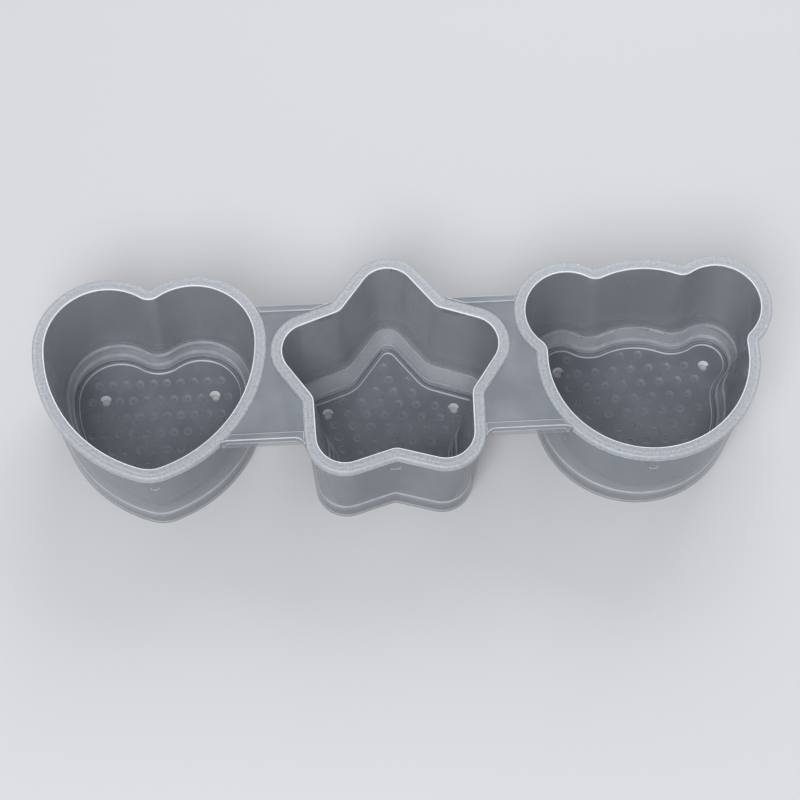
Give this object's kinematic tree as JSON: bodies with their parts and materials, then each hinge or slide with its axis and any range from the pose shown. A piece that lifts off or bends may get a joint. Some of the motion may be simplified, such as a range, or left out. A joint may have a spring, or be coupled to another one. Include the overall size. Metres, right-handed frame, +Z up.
{
  "type": "rice mould press",
  "caption": "Rice mould press of clear plastic: a nested press tray lifts out of a mould frame with heart, star and bear-face cups in a row.",
  "frame": {"origin": "on the table under the middle of the whole outline", "axes": "+X along the row of cups from the heart to the bear face, +Y from the front edge to the rear (the star's upper tip), +Z up out of the cups"},
  "size_m": [0.1904, 0.0594, 0.038],
  "materials": {
    "press_plastic": "clear polypropylene, gloss walls with a finely frosted rim",
    "frame_plastic": "clear polypropylene, gloss"
  },
  "bodies": {
    "mold_frame": {"frame_heart_wall": "frame_plastic", "frame_star_wall": "frame_plastic", "frame_bear_wall": "frame_plastic", "frame_bridge_left": "frame_plastic", "frame_bridge_right": "frame_plastic"},
    "press_tray": {"press_heart_wall": "press_plastic", "press_heart_floor": "press_plastic", "press_star_wall": "press_plastic", "press_star_floor": "press_plastic", "press_bear_wall": "press_plastic", "press_bear_floor": "press_plastic", "press_bridge_left": "press_plastic", "press_bridge_right": "press_plastic"}
  },
  "joints": [
    {"name": "tray_lift", "type": "slide", "parent": "mold_frame", "child": "press_tray", "axis": [0, 0, 1], "range_m": [0, 0.045]}
  ]
}
